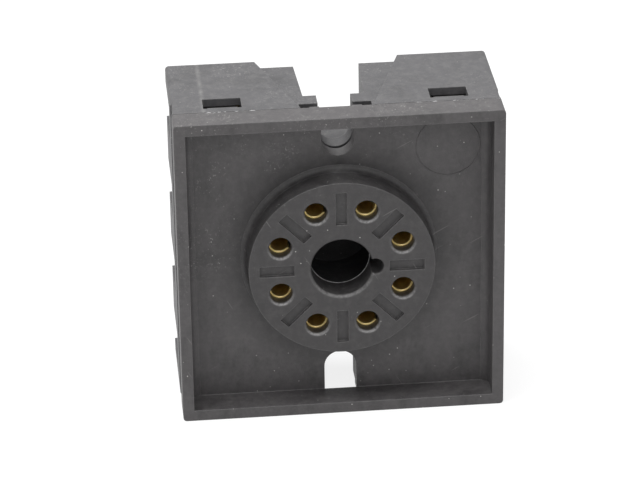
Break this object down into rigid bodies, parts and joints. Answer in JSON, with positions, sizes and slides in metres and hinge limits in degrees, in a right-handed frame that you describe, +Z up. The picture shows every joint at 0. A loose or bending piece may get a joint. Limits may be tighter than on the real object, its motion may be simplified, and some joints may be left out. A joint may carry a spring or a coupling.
{
  "type": "relay socket",
  "caption": "Square front-plug relay socket with an octal plug face in a shallow recess, panel screw slots, and screw terminals in two towers at the rear.",
  "frame": {"origin": "centre of the spigot bore, in the plane of the plug face and the front rim", "axes": "+Y from the plug face towards the terminals, +Z up, +X to the right seen from the front, where the keyway is"},
  "size_m": [0.043, 0.02, 0.043],
  "materials": {
    "front_moulding": "satin",
    "rear_moulding": "satin",
    "contact_brass": "bright",
    "plated_steel": "zinc plated"
  },
  "bodies": {
    "socket": {"front_housing": "front_moulding", "rear_housing": "rear_moulding", "contact_1": "contact_brass", "contact_2": "contact_brass", "contact_3": "contact_brass", "contact_4": "contact_brass", "contact_5": "contact_brass", "contact_6": "contact_brass", "contact_7": "contact_brass", "contact_8": "contact_brass"},
    "clamp_washer_1": {"clamp_washer_1": "plated_steel"},
    "terminal_screw_1": {"terminal_screw_1": "plated_steel"},
    "clamp_washer_2": {"clamp_washer_2": "plated_steel"},
    "terminal_screw_2": {"terminal_screw_2": "plated_steel"},
    "clamp_washer_3": {"clamp_washer_3": "plated_steel"},
    "terminal_screw_3": {"terminal_screw_3": "plated_steel"},
    "clamp_washer_4": {"clamp_washer_4": "plated_steel"},
    "terminal_screw_4": {"terminal_screw_4": "plated_steel"},
    "clamp_washer_5": {"clamp_washer_5": "plated_steel"},
    "terminal_screw_5": {"terminal_screw_5": "plated_steel"},
    "clamp_washer_6": {"clamp_washer_6": "plated_steel"},
    "terminal_screw_6": {"terminal_screw_6": "plated_steel"},
    "clamp_washer_7": {"clamp_washer_7": "plated_steel"},
    "terminal_screw_7": {"terminal_screw_7": "plated_steel"},
    "clamp_washer_8": {"clamp_washer_8": "plated_steel"},
    "terminal_screw_8": {"terminal_screw_8": "plated_steel"}
  },
  "joints": [
    {"name": "clamp_lift_1", "type": "slide", "parent": "socket", "child": "clamp_washer_1", "axis": [0, 1, 0], "range_m": [0, 0.003]},
    {"name": "screw_turn_1", "type": "hinge", "parent": "clamp_washer_1", "child": "terminal_screw_1", "pos_m": [0.0154, 0.0131, 0.0056], "axis": [0, 1, 0], "range_deg": [0, 1800]},
    {"name": "clamp_lift_2", "type": "slide", "parent": "socket", "child": "clamp_washer_2", "axis": [0, 1, 0], "range_m": [0, 0.003]},
    {"name": "screw_turn_2", "type": "hinge", "parent": "clamp_washer_2", "child": "terminal_screw_2", "pos_m": [0.0154, 0.0131, -0.0056], "axis": [0, 1, 0], "range_deg": [0, 1800]},
    {"name": "clamp_lift_3", "type": "slide", "parent": "socket", "child": "clamp_washer_3", "axis": [0, 1, 0], "range_m": [0, 0.003]},
    {"name": "screw_turn_3", "type": "hinge", "parent": "clamp_washer_3", "child": "terminal_screw_3", "pos_m": [0.0154, 0.0131, -0.0168], "axis": [0, 1, 0], "range_deg": [0, 1800]},
    {"name": "clamp_lift_4", "type": "slide", "parent": "socket", "child": "clamp_washer_4", "axis": [0, 1, 0], "range_m": [0, 0.003]},
    {"name": "screw_turn_4", "type": "hinge", "parent": "clamp_washer_4", "child": "terminal_screw_4", "pos_m": [-0.0154, 0.0131, -0.0168], "axis": [0, 1, 0], "range_deg": [0, 1800]},
    {"name": "clamp_lift_5", "type": "slide", "parent": "socket", "child": "clamp_washer_5", "axis": [0, 1, 0], "range_m": [0, 0.003]},
    {"name": "screw_turn_5", "type": "hinge", "parent": "clamp_washer_5", "child": "terminal_screw_5", "pos_m": [-0.0154, 0.0131, -0.0056], "axis": [0, 1, 0], "range_deg": [0, 1800]},
    {"name": "clamp_lift_6", "type": "slide", "parent": "socket", "child": "clamp_washer_6", "axis": [0, 1, 0], "range_m": [0, 0.003]},
    {"name": "screw_turn_6", "type": "hinge", "parent": "clamp_washer_6", "child": "terminal_screw_6", "pos_m": [-0.0154, 0.0131, 0.0056], "axis": [0, 1, 0], "range_deg": [0, 1800]},
    {"name": "clamp_lift_7", "type": "slide", "parent": "socket", "child": "clamp_washer_7", "axis": [0, 1, 0], "range_m": [0, 0.003]},
    {"name": "screw_turn_7", "type": "hinge", "parent": "clamp_washer_7", "child": "terminal_screw_7", "pos_m": [-0.0154, 0.0131, 0.0168], "axis": [0, 1, 0], "range_deg": [0, 1800]},
    {"name": "clamp_lift_8", "type": "slide", "parent": "socket", "child": "clamp_washer_8", "axis": [0, 1, 0], "range_m": [0, 0.003]},
    {"name": "screw_turn_8", "type": "hinge", "parent": "clamp_washer_8", "child": "terminal_screw_8", "pos_m": [0.0154, 0.0131, 0.0168], "axis": [0, 1, 0], "range_deg": [0, 1800]}
  ],
  "couplings": [
    {"joint": "screw_turn_1", "follows": "clamp_lift_1", "rad_per_m": 10472},
    {"joint": "screw_turn_2", "follows": "clamp_lift_2", "rad_per_m": 10472},
    {"joint": "screw_turn_3", "follows": "clamp_lift_3", "rad_per_m": 10472},
    {"joint": "screw_turn_4", "follows": "clamp_lift_4", "rad_per_m": 10472},
    {"joint": "screw_turn_5", "follows": "clamp_lift_5", "rad_per_m": 10472},
    {"joint": "screw_turn_6", "follows": "clamp_lift_6", "rad_per_m": 10472},
    {"joint": "screw_turn_7", "follows": "clamp_lift_7", "rad_per_m": 10472},
    {"joint": "screw_turn_8", "follows": "clamp_lift_8", "rad_per_m": 10472}
  ]
}
